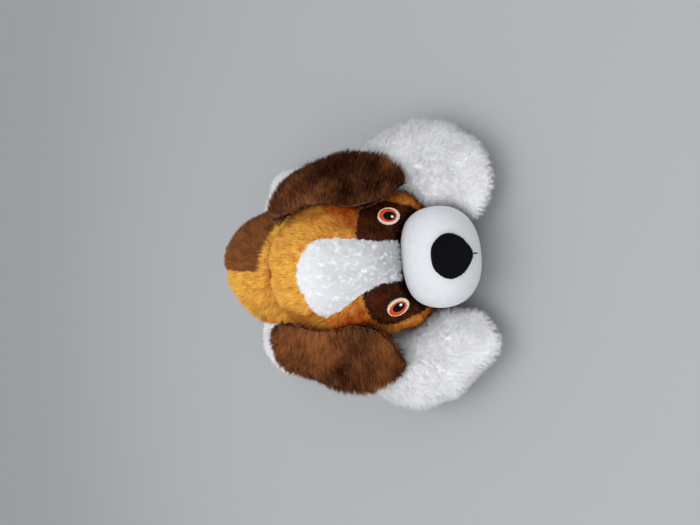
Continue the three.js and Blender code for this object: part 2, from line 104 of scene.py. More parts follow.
def woven(name, dark, light, scale, bump, roughness=0.8, sheen=0.3, stretch=(1, 1, 1)):
    """A cloth whose colour and relief come from fine noise; scale is in grains per metre."""
    m = principled(name, mixed(dark, light, 0.5), roughness, sheen)
    nodes, links = m.node_tree.nodes, m.node_tree.links
    shader = nodes["Principled BSDF"]
    place = nodes.new("ShaderNodeTexCoord")
    shape = nodes.new("ShaderNodeMapping")
    shape.inputs["Scale"].default_value = stretch
    links.new(place.outputs["Object"], shape.inputs["Vector"])
    broad, fine = (nodes.new("ShaderNodeTexNoise") for _ in range(2))
    for noise, grains, detail in ((broad, scale / BROAD_GRAINS, 3), (fine, scale, 5)):
        noise.inputs["Scale"].default_value = grains
        noise.inputs["Detail"].default_value = detail
        links.new(shape.outputs["Vector"], noise.inputs["Vector"])
    ramp = nodes.new("ShaderNodeValToRGB")
    for stop, position, color in zip(ramp.color_ramp.elements, RAMP_ENDS, (dark, light)):
        stop.position = position
        stop.color = (*color, 1)
    both = nodes.new("ShaderNodeMath")
    both.operation = "ADD"
    half = nodes.new("ShaderNodeMath")
    half.operation = "MULTIPLY"
    half.inputs[1].default_value = 0.5
    relief = nodes.new("ShaderNodeBump")
    relief.inputs["Strength"].default_value = bump
    relief.inputs["Distance"].default_value = RELIEF_DEPTH
    links.new(broad.outputs["Fac"], both.inputs[0])
    links.new(fine.outputs["Fac"], both.inputs[1])
    links.new(both.outputs[0], half.inputs[0])
    links.new(half.outputs[0], ramp.inputs["Fac"])
    links.new(ramp.outputs["Color"], shader.inputs["Base Color"])
    links.new(fine.outputs["Fac"], relief.inputs["Height"])
    links.new(relief.outputs["Normal"], shader.inputs["Normal"])
    return m


SHADES = 5
PALETTE_BEND = 1.2  # above 1, more of the shades are deep ones
PILE_ROUGHNESS, PILE_SPECULAR = 0.7, 0.06
BACKING_DARK, BACKING_LIGHT = 0.1, 0.4  # toward black from the root, and toward the tip
BACKING_GRAINS, BACKING_BUMP = 1800, 0.6

# Each coat's root and tip colours, record slot, sheen, and softness: the share of a fibre's
# shading that follows the skin below it.
COAT_FACTS = {
    "golden": ("A63A04", "FFC858", "golden_plush", 0.0, 0.65),
    "brown": ("280C04", "9C5F34", "brown_plush", 0.0, 0.5),
    "patch": ("220B03", "763A15", "brown_plush", 0.0, 0.5),
    # The blaze coat is a dimmer copy of the white plush: painted shade.
    "blaze": ("E7E8EA", "F5F6F7", "white_plush", 0.05, 0.9),
    "white": ("DEDFE1", "FEFEFE", "white_plush", 0.1, 0.7),
    # The sole coat is the white plush painted grey: painted shade under the paws.
    "sole": ("B9B7B4", "F2F1EF", "white_plush", 0.05, 0.6),
}
COATS = {}
for coat_name, (root_code, tip_code, coat_slot, coat_sheen, softness) in COAT_FACTS.items():
    root_color, tip_color = linear(root_code), linear(tip_code)
    COATS[coat_name] = {
        "slot": coat_slot,
        "soft": softness,
        "shades": [
            principled(f"{coat_name}_pile_{k}",
                       mixed(root_color, tip_color, (k / (SHADES - 1)) ** PALETTE_BEND),
                       PILE_ROUGHNESS, sheen=coat_sheen, specular=PILE_SPECULAR)
            for k in range(SHADES)
        ],
        "skin": woven(f"{coat_name}_backing", mixed(root_color, (0, 0, 0), BACKING_DARK),
                      mixed(root_color, tip_color, BACKING_LIGHT), BACKING_GRAINS,
                      BACKING_BUMP),
    }

# Which coat each panel wears, its pile length and the side of one tuft, in mm. The first start
# that fits a panel's name counts, and any sole panel wears the grey sole coat, whose grey is
# painted shade.
PANELS = {
    "head_blaze_panel": ("blaze", 4.2, 1.5),
    "head_crown": ("golden", 5.0, 1.5),
    "head_cheek": ("golden", 4.5, 1.5),
    "eye_patch": ("patch", 3.4, 1.3),
    "head_chin": ("golden", 4.0, 1.8),
    "torso_brown": ("brown", 6.0, 1.9),
    "torso_": ("golden", 6.5, 1.9),
    "belly": ("golden", 5.0, 2.6),
    "front_leg": ("white", 6.5, 1.75),
    "hind_leg": ("white", 6.5, 1.75),
    "tail_": ("golden", 6.0, 1.9),
    "ear_": ("brown", 6.5, 1.6),
}
SOLE_PAINTED_SHADE = ("sole", 5.5, 1.7)


def panel_facts(node):
    """A panel's row of PANELS, or None for a node that wears no pile."""
    if node.endswith("sole_panel"):
        return SOLE_PAINTED_SHADE
    for start, facts in PANELS.items():
        if node.startswith(start):
            return facts
    return None


# ------------------------------------------------------------------ skins

SMOOTH_FACTOR = 0.5
TINY = 1e-9  # keeps a division from failing
CLOTH_QUALITY, CLOTH_FRAMES = 5, 20
BODY_PRESSURE, MUZZLE_PRESSURE = 3.0, 2.0
WAVES, WAVE_PEAK = 7, 2.6  # how many sines make a wave, and about how high they sum
LUMP_SIZE, LUMP_SEED = 45 * MM, 5
FLOOR_GAP = 0.8 * MM  # between a skin and the floor
SEAM_DEPTH, SEAM_WIDTH = 1 * MM, 3 * MM
SEAMS = {}  # by skin, a search tree of the points along its seams


def new_object(name, mesh):
    obj = bpy.data.objects.new(name, mesh)
    bpy.context.scene.collection.objects.link(obj)
    return obj


def settle(obj):
    """Makes what the modifiers show the object's own mesh."""
    graph = bpy.context.evaluated_depsgraph_get()
    graph.update()
    mesh = bpy.data.meshes.new_from_object(obj.evaluated_get(graph))
    obj.modifiers.clear()
    old = obj.data
    obj.data = mesh
    bpy.data.meshes.remove(old)


def values_of(items, name, width, kind=np.float32):
    """One attribute of all vertices, edges or faces, a row for each."""
    values = np.empty(len(items) * width, kind)
    items.foreach_get(name, values)
    return values.reshape(-1, width)


def points_of(mesh):
    return values_of(mesh.vertices, "co", 3).astype(float)


def set_points(mesh, points):
    mesh.vertices.foreach_set("co", points.astype(np.float32).ravel())
    mesh.update()


def normals_of(mesh):
    return values_of(mesh.vertex_normals, "vector", 3).astype(float)


def shade_smooth(mesh):
    mesh.polygons.foreach_set("use_smooth", np.ones(len(mesh.polygons), bool))


def keep_largest(obj):
    """Drops every loose shell but the one with the most vertices."""
    bm = bmesh.new()
    bm.from_mesh(obj.data)
    bm.verts.ensure_lookup_table()
    seen, best = set(), []
    for start in bm.verts:
        if start.index in seen:
            continue
        group, stack = [], [start]
        seen.add(start.index)
        while stack:
            v = stack.pop()
            group.append(v)
            for e in v.link_edges:
                w = e.other_vert(v)
                if w.index not in seen:
                    seen.add(w.index)
                    stack.append(w)
        if len(group) > len(best):
            best = group
    kept = {v.index for v in best}
    bmesh.ops.delete(bm, geom=[v for v in bm.verts if v.index not in kept], context="VERTS")
    bm.to_mesh(obj.data)
    bm.free()
    obj.data.update()


def smooth(obj, times):
    mod = obj.modifiers.new("Smooth", "SMOOTH")
    mod.factor = SMOOTH_FACTOR
    mod.iterations = times
    settle(obj)


def tree_of(nodes):
    """A search tree over CAD nodes, and the node of each of its faces."""
    verts, faces, owner = [], [], []
    for n in nodes:
        mesh = frame["nodes"][n].data
        base = len(verts)
        verts += [v.co[:] for v in mesh.vertices]
        for p in mesh.polygons:
            faces.append([base + k for k in p.vertices])
            owner.append(n)
    return BVHTree.FromPolygons(verts, faces), owner


def skin_round(name, nodes, voxel, inset, smoothing=6):
    """One closed skin round CAD nodes, sunk below them by the thickness of the pile."""
    bm = bmesh.new()
    for n in nodes:
        bm.from_mesh(frame["nodes"][n].data)
    mesh = bpy.data.meshes.new(name)
    bm.to_mesh(mesh)
    bm.free()
    obj = new_object(name, mesh)
    mod = obj.modifiers.new("Remesh", "REMESH")
    mod.mode = "VOXEL"
    mod.voxel_size = voxel
    settle(obj)
    keep_largest(obj)
    smooth(obj, smoothing)
    set_points(obj.data, points_of(obj.data) - normals_of(obj.data) * inset)
    smooth(obj, 3)
    return obj


def stuff(obj, pinned, pressure, cap):
    """Blows the skin up with cloth pressure between its pinned seams, by at most cap."""
    start = points_of(obj.data)
    group = obj.vertex_groups.new(name="seam")
    group.add([int(k) for k in np.nonzero(pinned)[0]], 1.0, "REPLACE")
    cloth = obj.modifiers.new("Stuffing", "CLOTH")
    cloth.settings.vertex_group_mass = "seam"
    cloth.settings.use_pressure = True
    cloth.settings.uniform_pressure_force = pressure
    cloth.settings.effector_weights.gravity = 0
    cloth.settings.quality = CLOTH_QUALITY
    for step in range(1, CLOTH_FRAMES + 1):
        bpy.context.scene.frame_set(step)
    settle(obj)
    bpy.context.scene.frame_set(1)
    move = points_of(obj.data) - start
    far = np.linalg.norm(move, axis=1, keepdims=True)
    set_points(obj.data, start + move * np.minimum(1, cap / np.maximum(far, TINY)))
    obj.vertex_groups.clear()


def owners_at(points, tree, owner):
    """The node nearest to each point."""
    return np.array([owner[tree.find_nearest(Vector(p))[2]] for p in points])


def seam_vertices(obj, owners):
    """The vertices whose neighbours lie on another panel."""
    edges = values_of(obj.data.edges, "vertices", 2, np.int32)
    _, code = np.unique(owners, return_inverse=True)
    split = code[edges[:, 0]] != code[edges[:, 1]]
    seam = np.zeros(len(owners), bool)
    seam[edges[split].ravel()] = True
    return seam


def subdivide(obj):
    mod = obj.modifiers.new("Subdivision", "SUBSURF")
    mod.levels = 1
    mod.render_levels = 1
    settle(obj)


def wave(points, size, seed):
    """A smooth value from about -1 to 1 that changes over a length of size."""
    rng = np.random.default_rng(seed)
    total = np.zeros(len(points))
    for _ in range(WAVES):
        way = rng.normal(size=3)
        way *= rng.uniform(0.6, 1.6) * 2 * math.pi / size / np.linalg.norm(way)
        total += np.sin(points @ way + rng.uniform(0, 2 * math.pi))
    return total / WAVE_PEAK


def search_tree(points):
    if not len(points):
        return None
    tree = KDTree(len(points))
    for k, p in enumerate(points):
        tree.insert(p, k)
    tree.balance()
    return tree


def distance_to(tree, points):
    """How far each point is from a search tree's, or a metre if it has none."""
    if tree is None:
        return np.full(len(points), 1.0)
    return np.array([tree.find(p)[2] for p in points])


def plush_skin(name, body, panels, extras, inset, swell, voxel=4 * MM, lumps=0.0,
               smoothing=6):
    """The backing fabric of a stuffed body, coloured by panel."""
    obj = skin_round(name, panels + extras, voxel, inset, smoothing)
    tree, owner = tree_of(panels)
    points = points_of(obj.data)
    owners = owners_at(points + normals_of(obj.data) * inset, tree, owner)
    stuff(obj, seam_vertices(obj, owners), BODY_PRESSURE, swell)
    subdivide(obj)
    points, normals = points_of(obj.data), normals_of(obj.data)
    if lumps:
        points += normals * (wave(points, LUMP_SIZE, LUMP_SEED) * lumps)[:, None]
    points[:, 2] = np.maximum(points[:, 2], FLOOR_GAP)
    set_points(obj.data, points)
    points, normals = points_of(obj.data), normals_of(obj.data)
    edge = seam_vertices(obj, owners_at(points + normals * inset, tree, owner))
    SEAMS[obj.name] = search_tree(points[edge])
    near = distance_to(SEAMS[obj.name], points)
    dent = SEAM_DEPTH * np.exp(-(near / SEAM_WIDTH) ** 2)
    set_points(obj.data, points - normals * dent[:, None])
    coats = sorted({panel_facts(n)[0] for n in panels})
    for c in coats:
        obj.data.materials.append(COATS[c]["skin"])
    centres = values_of(obj.data.polygons, "center", 3)
    facing_out = values_of(obj.data.polygons, "normal", 3)
    owners = owners_at(centres + facing_out * inset, tree, owner)
    index = [coats.index(panel_facts(n)[0]) for n in owners]
    obj.data.polygons.foreach_set("material_index", np.array(index, np.int32))
    shade_smooth(obj.data)
    obj.data.update()
    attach(obj, body)
    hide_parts(*panels, *extras)
    return obj


# ------------------------------------------------------------------ pile

# The direction of the nap, its lean and its tone wander in broad waves and from tuft to tuft.
NAP_TURN, NAP_NOISE = 22 * MM, 0.2  # the waves' length, and the noise in radians
TILT_SIZE, TILT_WAVE, TILT_NOISE = 12 * MM, 0.12, 0.10  # radians
TONE_SIZE, TONE_WAVE, TONE_NOISE = 10 * MM, 0.45, 0.35  # shades
TONE_MIDDLE, TONE_SPREAD = 2.0, 0.8  # of the shades 0 to SHADES - 1
SEAM_SHORTER, SEAM_REACH = 0.3, 2.5 * MM  # the pile is this much shorter at a seam
TIP_REACH = 0.55  # how far a tip lies along the nap, as a share of the pile's length
LOW_SHARE, HIGH_SHARE = 0.45, 0.55  # of a fibre's length, with the lean of its root and its tip
TUFT_RADIUS, TUFT_DRAW = 0.75, 0.5  # of a tuft's side, and how far its tips close up
FIBRE_LENGTHS, FIBRE_WIDTHS = (0.72, 1.1), (0.75, 1.2)  # shortest and longest, as shares
TIP_NOISE, STRAY = 0.10, 0.10  # how single fibres differ in lean and in direction
ROOT_DEPTH = 0.3 * MM  # below the skin
LOWEST_TIP = 0.3 * MM
PROBE, LEAST_ROOM = 6 * MM, 0.5 * MM  # how far to look for another body, and the room needed
FEWEST_FIBRES = 40
MOST_FIBRES = 62000  # in one piece
SHELLS = {}  # by body, or body/piece, the skins that another body's pile must not enter


def unit(v):
    return v / np.maximum(np.linalg.norm(v, axis=1, keepdims=True), 1e-12)


def evened(normals, mesh, times):
    """Normals averaged with their neighbours', so that small creases don't show in the pile."""
    a, b = values_of(mesh.edges, "vertices", 2, np.int32).T
    for _ in range(times):
        total = normals.copy()
        np.add.at(total, a, normals[b])
        np.add.at(total, b, normals[a])
        normals = unit(total)
    return normals


def scattered(obj, count, rng, even):
    """count points spread evenly over a mesh, with their normals."""
    mesh = obj.data
    mesh.calc_loop_triangles()
    tris = values_of(mesh.loop_triangles, "vertices", 3, np.int32)
    points, normals = points_of(mesh), evened(normals_of(mesh), mesh, even)
    a, b, c = (points[tris[:, k]] for k in range(3))
    area = np.linalg.norm(np.cross(b - a, c - a), axis=1) / 2
    ends = np.cumsum(area)
    at = (np.arange(count) + rng.random(count)) / count * ends[-1]
    which = np.minimum(np.searchsorted(ends, at), len(area) - 1)
    u, v = rng.random(count), rng.random(count)
    over = u + v > 1
    u[over], v[over] = 1 - u[over], 1 - v[over]
    w = 1 - u - v
    mixed_at = [k[:, None] for k in (w, u, v)]
    ids = tris[which]
    place = sum(points[ids[:, k]] * mixed_at[k] for k in range(3))
    out = unit(sum(normals[ids[:, k]] * mixed_at[k] for k in range(3)))
    return place, out


def surface_area(obj):
    return sum(p.area for p in obj.data.polygons)


def tuft_points(skin, panels, inset, rng, even):
    """Tufts over a skin: centre, normal, pile length and side, and the panels' search tree."""
    tree, owner = tree_of(panels)
    tight = min(panel_facts(n)[2] for n in panels if panel_facts(n)) * MM
    centre, normal = scattered(skin, int(surface_area(skin) / tight ** 2), rng, even)
    owners = owners_at(centre + normal * inset, tree, owner)
    facts = [panel_facts(n) for n in owners]
    good = np.array([f is not None for f in facts])
    tuft = np.array([f[2] if f else 1.0 for f in facts]) * MM
    good &= rng.random(len(good)) < (tight / tuft) ** 2
    length = np.array([f[1] if f else 1.0 for f in facts]) * MM
    return centre[good], normal[good], length[good], tuft[good], (tree, owner)


def pile(body, skin, panels, flow, inset, seed, width=0.4, per_tuft=8, lean=(22, 58),
         keep=None, label="", shade=None, scale=None, swirl=0.3, lean_share=None, even=10,
         ruffle=1.0):
    """Grows the pile of a skin as fibres, one piece for each coat, or two for a large one.

    width is a fibre's in mm, and lean is how far it leans along the nap at its root and its
    tip, in degrees. keep, shade, scale and lean_share are functions of the tufts' places."""
    rng = np.random.default_rng(seed)
    centre, normal, length, tuft, search = tuft_points(skin, panels, inset, rng, even)
    if keep is not None:
        good = keep(centre, normal)
        centre, normal, length, tuft = (x[good] for x in (centre, normal, length, tuft))
    nap = flow(centre)
    nap = unit(nap - normal * np.sum(nap * normal, axis=1, keepdims=True))
    side = np.cross(normal, nap)
    turn = wave(centre, NAP_TURN, seed + 1) * swirl + rng.normal(size=len(centre)) * NAP_NOISE
    nap = nap * np.cos(turn)[:, None] + side * np.sin(turn)[:, None]
    side = np.cross(normal, nap)
    tilt = rng.normal(size=len(centre)) * TILT_NOISE
    tilt = (tilt + wave(centre, TILT_SIZE, seed + 2) * TILT_WAVE) * ruffle
    tone = wave(centre, TONE_SIZE, seed + 3) * TONE_WAVE
    tone = tone + rng.normal(size=len(centre)) * TONE_NOISE
    # shade adds painted light and painted shade to the tones.
    if shade is not None:
        tone = tone + shade(centre, normal)
    if scale is not None:
        length = length * scale(centre)
    near = distance_to(SEAMS.get(skin.name), centre)
    length = length * (1 - SEAM_SHORTER * np.exp(-(near / SEAM_REACH) ** 2))
    share = np.ones(len(centre)) if lean_share is None else lean_share(centre)
    tip_at = centre + normal * inset + nap * (length * (TIP_REACH * share))[:, None]
    coats = np.array([(panel_facts(n) or ("none",))[0] for n in owners_at(tip_at, *search)])

    # Fibres, several to a tuft, drawn together toward their tips.
    def rep(x):
        return np.repeat(x, per_tuft, axis=0)

    n, t, s, c = rep(normal), rep(nap), rep(side), rep(centre)
    many = len(c)
    radius = np.sqrt(rng.random(many)) * rep(tuft) * TUFT_RADIUS
    angle = rng.random(many) * 2 * math.pi
    offset = (t * np.cos(angle)[:, None] + s * np.sin(angle)[:, None]) * radius[:, None]
    long = rep(length) * rng.uniform(*FIBRE_LENGTHS, many)
    root_lean = np.radians(lean[0]) * rep(share) + rep(tilt)
    tip_lean = np.radians(lean[1]) * rep(share) + rep(tilt)
    tip_lean = tip_lean + rng.normal(size=many) * TIP_NOISE
    stray = rng.normal(size=(many, 3)) * STRAY
    low = unit(n * np.cos(root_lean)[:, None] + t * np.sin(root_lean)[:, None] + stray)
    high = unit(n * np.cos(tip_lean)[:, None] + t * np.sin(tip_lean)[:, None] + stray)
    root = c + offset - n * ROOT_DEPTH
    way = low * LOW_SHARE + high * HIGH_SHARE
    tip = root + way * long[:, None] - offset * TUFT_DRAW
    free = (open_length(root, n, blockers(body)) > LEAST_ROOM) & (rep(coats) != "none")
    root, tip, n = root[free], tip[free], n[free]
    tone_f, coats_f = rep(tone)[free], rep(coats)[free]
    many = len(root)
    tip[:, 2] = np.maximum(tip[:, 2], LOWEST_TIP)
    thick = rng.uniform(*FIBRE_WIDTHS, many) * width * MM / 2
    spin = rng.random(many) * 2 * math.pi
    shades = TONE_MIDDLE + rng.normal(size=many) * TONE_SPREAD + tone_f
    shades = np.clip(np.round(shades), 0, SHADES - 1).astype(np.int32)
    for coat_name in sorted(set(coats_f)):
        whole = coats_f == coat_name
        if whole.sum() < FEWEST_FIBRES:
            continue
        parts = {"": whole}
        if whole.sum() > MOST_FIBRES:
            middle_x = np.median(root[whole, 0])
            parts = {"_right": whole & (root[:, 0] < middle_x),
                     "_left": whole & (root[:, 0] >= middle_x)}
        for part, pick in parts.items():
            piece = fibres(f"{body}{label}_{coat_name}{part}_pile", root[pick], tip[pick],
                           n[pick], thick[pick], spin[pick], shades[pick], COATS[coat_name])
            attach(piece, body)


def fibres(name, root, tip, n, thick, spin, shades, coat):
    """Three-sided fibres that taper from the skin to a point, as one mesh."""
    many = len(root)
    along = unit(tip - root)
    across = unit(np.cross(along, n + 1e-6))
    third = np.cross(along, across)
    soft = coat["soft"]
    points, normals = [], []
    for k in range(3):
        turn = spin + k * 2 * math.pi / 3
        spoke = across * np.cos(turn)[:, None] + third * np.sin(turn)[:, None]
        points.append(root + spoke * thick[:, None])
        normals.append(unit(n * soft + spoke * (1 - soft)))
    points.append(tip)
    normals.append(unit(n * soft + along * (1 - soft) * 0.5))
    mesh = bpy.data.meshes.new(name)
    mesh.vertices.add(many * 4)
    mesh.vertices.foreach_set("co", np.stack(points, axis=1).astype(np.float32).ravel())
    base = np.arange(many, dtype=np.int32)[:, None] * 4
    loops = np.concatenate([base + [0, 1, 3], base + [1, 2, 3], base + [2, 0, 3]], axis=1).ravel()
    mesh.loops.add(len(loops))
    mesh.loops.foreach_set("vertex_index", loops.astype(np.int32))
    mesh.polygons.add(many * 3)
    mesh.polygons.foreach_set("loop_start", (np.arange(many * 3) * 3).astype(np.int32))
    for m in coat["shades"]:
        mesh.materials.append(m)
    mesh.polygons.foreach_set("material_index", np.repeat(shades, 3))
    shade_smooth(mesh)
    mesh.update(calc_edges=True)
    mesh.normals_split_custom_set_from_vertices(np.stack(normals, axis=1).reshape(-1, 3).tolist())
    return new_object(name, mesh)


def blockers(body):
    """A search tree over the skins of the other bodies, so no pile grows inside them."""
    verts, faces = [], []
    for other, obj in SHELLS.items():
        if other.split("/")[0] == body:
            continue
        base = len(verts)
        verts += [v.co[:] for v in obj.data.vertices]
        faces += [[base + k for k in p.vertices] for p in obj.data.polygons]
    return BVHTree.FromPolygons(verts, faces) if faces else None


def open_length(root, normal, tree):
    """How far each fibre can grow outward before it meets another body's skin."""
    free = np.full(len(root), PROBE)
    if tree is None:
        return free
    for k in range(len(root)):
        hit = tree.ray_cast(Vector(root[k]), Vector(normal[k]), PROBE)
        if hit[3] is not None:
            free[k] = hit[3]
    return free


# ------------------------------------------------------------------ stuffed bodies

def nodes_starting(*starts):
    return sorted(n for n in frame["nodes"] if n.startswith(starts))


head_low, head_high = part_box("head_filling")
HEAD_MIDDLE = (head_low + head_high) / 2
HEAD_PANELS = nodes_starting("head_blaze", "head_crown", "head_cheek", "head_chin", "eye_patch")
EYE_NODES = nodes_starting("eye_left", "eye_right")
TORSO_PANELS = ["belly_panel", "torso_brown_patch", "torso_left_panel", "torso_right_panel"]

INSET = {"head": 2.6 * MM, "torso": 3.6 * MM, "leg": 3.2 * MM, "tail": 3.2 * MM}

head_skin = plush_skin("head_skin", "head", HEAD_PANELS, ["head_filling"],
                       voxel=3.5 * MM, inset=INSET["head"], swell=1.2 * MM)
torso_skin = plush_skin("torso_skin", "torso", TORSO_PANELS, ["torso_filling"],
                        inset=INSET["torso"], swell=2 * MM, lumps=2.2 * MM)
leg_skins = {}
for limb in LIMBS:
    leg_skins[limb] = plush_skin(f"{limb}_skin", limb,
                                 [f"{limb}_upper_panel", f"{limb}_sole_panel"],
                                 [f"{limb}_filling"], inset=INSET["leg"], swell=1.5 * MM,
                                 lumps=1.5 * MM, smoothing=12)
tail_skin = plush_skin("tail_skin", "tail", ["tail_lower_panel", "tail_upper_panel"],
                       ["tail_filling"], voxel=2.5 * MM, inset=INSET["tail"], swell=1 * MM)

# The muzzle: a smooth knitted cover, drawn in along the mouth thread.
PUCKER_DEPTH, PUCKER_WIDTH = 1.3 * MM, 2.2 * MM
muzzle = skin_round("muzzle_skin", ["muzzle_cover", "muzzle_filling"], 2.4 * MM, 0.3 * MM, 10)
stuff(muzzle, np.zeros(len(muzzle.data.vertices), bool), MUZZLE_PRESSURE, 0.6 * MM)
subdivide(muzzle)
stitch_low, stitch_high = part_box("mouth_stitch")
stitch = (stitch_low + stitch_high) / 2
points, normals = points_of(muzzle.data), normals_of(muzzle.data)
off = points - np.array(stitch)
beyond = np.maximum(np.abs(off[:, 2]) - (stitch_high.z - stitch_low.z) / 2, 0)
gap = np.sqrt(off[:, 0] ** 2 + beyond ** 2 + (np.abs(off[:, 1]) * 0.3) ** 2)
points -= normals * (PUCKER_DEPTH * np.exp(-(gap / PUCKER_WIDTH) ** 2))[:, None]
set_points(muzzle.data, points)
smooth_cloth = woven("smooth_cover", linear("C2C4C6"), linear("CACCCE"), 3200, 0.25, 0.85, 0.3)
muzzle.data.materials.append(smooth_cloth)
shade_smooth(muzzle.data)
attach(muzzle, "head")
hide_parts("muzzle_cover", "muzzle_filling")


# ------------------------------------------------------------------ ears

def ear_frame(ear):
    """An ear's middle and its axes: down its length, across it and out through it."""
    points = points_of(frame["nodes"][f"{ear}_outer_panel"].data)
    middle = (points.max(0) + points.min(0)) / 2
    joint = next(j for j in frame["joints"] if j["child"] == ear)
    across = np.array(joint["axis"], float)
    down = middle - np.array(joint["pos_m"])
    down = down - across * np.dot(down, across)
    down /= np.linalg.norm(down)
    outward = np.cross(across, down)
    outward *= np.sign(outward[0] * middle[0])
    if across[1] > 0:
        across = -across
    spread = (points - middle) @ np.stack([down, across], axis=1)
    return middle, down, across, outward, np.abs(spread).max(0)


EAR_TRIM = 0.6 * MM  # the pile stands this far past the edge of the fabric
RIPPLE = 1.3 * MM
# Dents: place down the ear and toward its front as parts of its half size, depth and width.
EAR_DENTS = {
    "ear_right": ((0.30, 0.10, 5.0, 12), (-0.35, 0.5, 2.0, 9), (0.55, -0.5, 2.2, 9)),
    "ear_left": ((-0.40, 0.30, 4.0, 10), (0.10, 0.05, 3.5, 12), (0.45, 0.55, 2.5, 8)),
}
# Each ear's base tone, and the painted shade put in its dents, in shades.
EAR_TONE = {"ear_right": -0.5, "ear_left": -1.1}
EAR_DENT_PAINTED_SHADE = -0.9
EAR_INSETS = (("outer_panel", 1.5), ("lining", 0.7))  # the pile's thickness over each layer, mm
# Painted highlights, paler pile where light catches the ear: place down the ear and toward its
# front, strength, width.
EAR_PAINTED_HIGHLIGHTS = {
    "ear_right": ((-0.75, -0.1, 2.4, 19), (-0.2, 0.75, 1.2, 12), (0.9, 0.5, 1.6, 12),
                  (0.5, -0.9, 1.3, 12)),
    "ear_left": ((0.75, 0.75, 2.0, 13), (-0.9, -0.2, 1.2, 14), (0.9, -0.2, 1.0, 12)),
}


def shape_ear(points, ear):
    """Trims an ear for its pile and lets the slack fabric dent and ripple lengthwise."""
    middle, down, across, outward, half = ear_frame(ear)
    rel = points - middle
    a, b, h = rel @ down, rel @ across, rel @ outward
    ripple = np.sin((b / half[1]) * 5.2 + a / half[0] * 1.1 + 0.6) * RIPPLE
    ripple *= np.clip((a / half[0] + 0.9) / 1.2, 0, 1)
    for along_at, across_at, depth, wide in EAR_DENTS[ear]:
        gap = np.hypot(a - along_at * half[0], b - across_at * half[1]) / (wide * MM)
        ripple -= depth * MM * np.exp(-gap ** 2)
    a = a * (1 - EAR_TRIM / half[0])
    b = b * (1 - EAR_TRIM / half[1])
    return middle + np.outer(a, down) + np.outer(b, across) + np.outer(h + ripple, outward)


ear_skins = {}
for side in SIDES:
    ear = f"ear_{side}"
    for layer, inset in EAR_INSETS:
        node = f"{ear}_{layer}"
        obj = skin_round(f"{node}_skin", [node], 1.6 * MM, inset * MM, 4)
        set_points(obj.data, shape_ear(points_of(obj.data), ear))
        obj.data.materials.append(COATS["brown"]["skin"])
        shade_smooth(obj.data)
        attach(obj, ear)
        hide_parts(node)
        ear_skins[node] = obj

SHELLS.update({"head": head_skin, "head/muzzle": muzzle, "torso": torso_skin,
               "tail": tail_skin})
SHELLS.update(leg_skins)
for node, obj in ear_skins.items():
    SHELLS["_".join(node.split("_")[:2]) + "/" + node] = obj


# ------------------------------------------------------------------ coats of pile

GRAPH = bpy.context.evaluated_depsgraph_get()
MUZZLE_TREE = BVHTree.FromObject(muzzle, GRAPH)
EAR_TREES = [BVHTree.FromObject(ear_skins[f"ear_{s}_outer_panel"], GRAPH) for s in SIDES]
UNDER_MUZZLE = 1.4 * MM  # skin with the muzzle this close above it grows no pile
STANDING, FULL_LEAN = 0.4, 8 * MM  # how the pile stands up at the muzzle, and over what length
LONGER, LONGER_REACH = 0.7, 4 * MM  # beside the muzzle
# Painted shade in the shelter of the ears: how many shades deeper, and over what distance.
EAR_SHADE, EAR_SHADE_REACH = 2.4, 11 * MM
LEG_PAINTED_LIGHT = 1.3


def distance_from(tree, points):
    return np.array([tree.find_nearest(Vector(q))[3] for q in points])


def away_from(point, lift=0.0):
    """Nap that runs away from a point, and down by lift."""
    def flow(p):
        out = unit(p - np.array(point))
        out[:, 2] -= lift
        return out
    return flow


def off_muzzle(p, n):
    """True where the head's skin isn't under the muzzle."""
    found = []
    for q, out in zip(p, n):
        start = Vector(q) + Vector(out) * 0.2 * MM
        hit = MUZZLE_TREE.ray_cast(start, Vector(out), UNDER_MUZZLE)
        inside = MUZZLE_TREE.find_nearest(Vector(q))
        deep = (Vector(q) - inside[0]).dot(inside[1]) < 0
        found.append(hit[3] is None and not deep)
    return np.array(found)


def clear_of_muzzle(p):
    """Share of the full lean: pile beside the muzzle stands up and closes on it."""
    far = distance_from(MUZZLE_TREE, p)
    return np.clip(far / FULL_LEAN, 0, 1) * (1 + STANDING) - STANDING


def muzzle_lengths(p):
    """Longer pile beside the muzzle, which fills the crease."""
    return 1 + LONGER * np.exp(-(distance_from(MUZZLE_TREE, p) / LONGER_REACH) ** 2)


def painted_shade_by_facing(amount):
    """Painted shade and painted light: deeper tones where a surface faces sideways or down, paler
    ones where it faces up.
    """
    def shade(p, n):
        return np.minimum((n[:, 2] - 0.45) * amount, 0.9)
    return shade


def head_painted_shade(p, n):
    """Painted shade and light by facing, and painted shade: deep orange in the shelter of the
    ears.
    """
    far = np.minimum(*(distance_from(tree, p) for tree in EAR_TREES))
    return painted_shade_by_facing(2.2)(p, n) - EAR_SHADE * np.exp(-(far / EAR_SHADE_REACH) ** 2)


def legs_painted_light(p, n):
    """Painted light: the palest shades, for the legs."""
    return np.full(len(p), LEG_PAINTED_LIGHT)


def ear_painted_light(ear):
    """Painted light and shade on an ear's pile: painted highlights along its root and its tips,
    painted shade down its length and deep brown in its hollows.
    """
    middle, down, across, _, half = ear_frame(ear)

    def shade(p, n):
        rel = p - middle
        a, b = rel @ down / half[0], rel @ across / half[1]
        tone = EAR_TONE[ear] - 0.5 * a + wave(p, 26 * MM, 91) * 0.5
        shaded_dents = [(*spot[:2], EAR_DENT_PAINTED_SHADE, spot[3]) for spot in EAR_DENTS[ear]]
        for along_at, across_at, strength, wide in (*shaded_dents, *EAR_PAINTED_HIGHLIGHTS[ear]):
            gap = np.hypot((a - along_at) * half[0], (b - across_at) * half[1]) / (wide * MM)
            tone += strength * np.exp(-gap ** 2)
        return tone
    return shade


def ear_lengths(ear):
    """Longer pile toward the free edge."""
    middle, down, _, _, half = ear_frame(ear)

    def scale(p):
        return 0.9 + 0.45 * np.clip((p - middle) @ down / half[0] - 0.3, 0, 1)
    return scale


